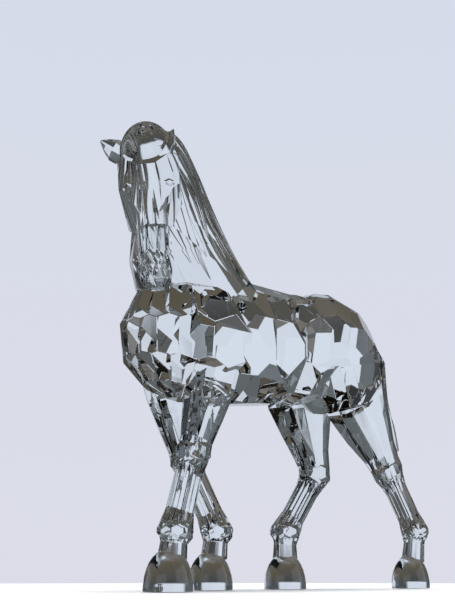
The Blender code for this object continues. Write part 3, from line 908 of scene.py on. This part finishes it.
# %% Room
PALE = (0.68, 0.73, 0.83)
PANEL_UP = (
    (-90.0, (0.25, 0.25, 0.25)), (-40.0, (0.16, 0.15, 0.14)), (-26.0, (0.11, 0.09, 0.06)),
    (-10.0, (0.07, 0.07, 0.065)), (-5.0, (0.05, 0.05, 0.05)), (-3.0, PALE), (24.0, PALE),
    (30.0, (0.12, 0.14, 0.15)), (60.0, (0.09, 0.10, 0.11)), (90.0, (0.05, 0.05, 0.05)),
)
GAP_UP = (
    (-90.0, (0.2, 0.2, 0.2)), (-40.0, (0.12, 0.11, 0.10)), (-20.0, (0.10, 0.085, 0.06)),
    (0.0, (0.06, 0.07, 0.075)), (30.0, (0.12, 0.14, 0.15)), (60.0, (0.08, 0.09, 0.10)),
    (90.0, (0.05, 0.05, 0.05)),
)
BACKDROP_UP = ((-5.0, (0.72, 0.72, 0.80)), (10.0, (0.70, 0.72, 0.81)), (30.0, (0.66, 0.71, 0.82)))
PANELS = (-138.0, -48.0, 42.0, 132.0)
PANEL_HALF = 22.0
PANEL_SOFT = 6.0
BLACK = (0.0, 0.0, 0.0)
WHITE = (1.0, 1.0, 1.0)

room = bpy.data.worlds.new("studio")
bpy.context.scene.world = room
room.use_nodes = True
room.node_tree.nodes.clear()


def add(kind, **sockets):
    """A node of the room, with its numbered sockets (s0, s1, s7) linked or set."""
    node = room.node_tree.nodes.new(kind)
    for name, value in sockets.items():
        socket = node.inputs[int(name[1:])]
        if isinstance(value, bpy.types.NodeSocket):
            room.node_tree.links.new(value, socket)
        else:
            socket.default_value = value
    return node


def calculate(operation, *values):
    node = add("ShaderNodeMath", **{f"s{i}": value for i, value in enumerate(values)})
    node.operation = operation
    return node.outputs[0]


def ramp(share, stops):
    node = add("ShaderNodeValToRGB", s0=share)
    elements = node.color_ramp.elements
    while len(elements) < len(stops):
        elements.new(0.5)
    for element, (position, colour) in zip(elements, stops):
        element.position = position
        element.color = (*colour, 1.0)
    return node.outputs[0]


def up_the_wall(share, stops):
    return ramp(share, [(angle / 180.0 + 0.5, colour) for angle, colour in stops])


def mix(share, first, second):
    node = room.node_tree.nodes.new("ShaderNodeMix")
    node.data_type = "RGBA"
    for socket, value in ((0, share), (6, first), (7, second)):
        room.node_tree.links.new(value, node.inputs[socket])
    return node.outputs[2]


# %% The ramps joined together
gaze = add("ShaderNodeTexCoord").outputs["Generated"]
axes = add("ShaderNodeSeparateXYZ", s0=gaze).outputs
height_share = calculate("MULTIPLY_ADD", calculate("ARCSINE", axes[2]), 1.0 / math.pi, 0.5)
heading = calculate("ARCTAN2", axes[0], calculate("MULTIPLY", axes[1], -1.0))
round_share = calculate("MULTIPLY_ADD", heading, 0.5 / math.pi, 0.5)
panel_stops = []
for middle in PANELS:
    for offset, colour in (
        (-PANEL_HALF - PANEL_SOFT, BLACK), (-PANEL_HALF, WHITE),
        (PANEL_HALF, WHITE), (PANEL_HALF + PANEL_SOFT, BLACK),
    ):
        panel_stops.append(((middle + offset + 180.0) / 360.0, colour))
in_panel = ramp(round_share, panel_stops)
seen_by_glass = mix(in_panel, up_the_wall(height_share, GAP_UP), up_the_wall(height_share, PANEL_UP))
seen_by_camera = add("ShaderNodeLightPath").outputs["Is Camera Ray"]
seen = mix(seen_by_camera, seen_by_glass, up_the_wall(height_share, BACKDROP_UP))
add("ShaderNodeOutputWorld", s0=add("ShaderNodeBackground", s0=seen).outputs[0])
print("panels round the room:", len(PANELS))

# %% [markdown]
# ## Soft light from above
# One broad lamp lights the board and gives it a soft shadow. It is hidden from the glass for the
# same reason as the board is.

# %% Lamp
LAMP_HEIGHT = 0.9
LAMP_SIDE = 0.8
LAMP_POWER = 14.0

lamp_data = bpy.data.lights.new("soft lamp", "AREA")
lamp_data.shape = "SQUARE"
lamp_data.size = LAMP_SIDE
lamp_data.energy = LAMP_POWER
lamp = bpy.data.objects.new("soft lamp", lamp_data)
bpy.context.scene.collection.objects.link(lamp)
lamp.location.z = LAMP_HEIGHT
lamp.visible_transmission = False
lamp.visible_glossy = False
bpy.context.scene.view_settings.view_transform = "Standard"
print("lamp height, m:", LAMP_HEIGHT)

# %% [markdown]
# ## The camera
# The viewer crouches at the level of the board, off the horse's left shoulder, and looks up. That
# low place is why the hooves stand nearly on one line and the head is high against the backdrop.

# %% Camera
CAMERA_PLACE = (0.2677, -0.3258, 0.005)
CAMERA_ROUND = 42.0
CAMERA_UP = 13.0
LENS = 68.53

camera_data = bpy.data.cameras.new("camera")
camera_data.sensor_width = 36.0
camera_data.lens = LENS
camera_data.clip_start = 0.01
camera_data.clip_end = 20.0
camera = bpy.data.objects.new("camera", camera_data)
bpy.context.scene.collection.objects.link(camera)
camera.location = CAMERA_PLACE
looking = direction(CAMERA_ROUND + 180.0, CAMERA_UP)
camera.rotation_euler = looking.to_track_quat("-Z", "Y").to_euler()
bpy.context.scene.camera = camera
print("camera looks along:", [round(part, 3) for part in looking])
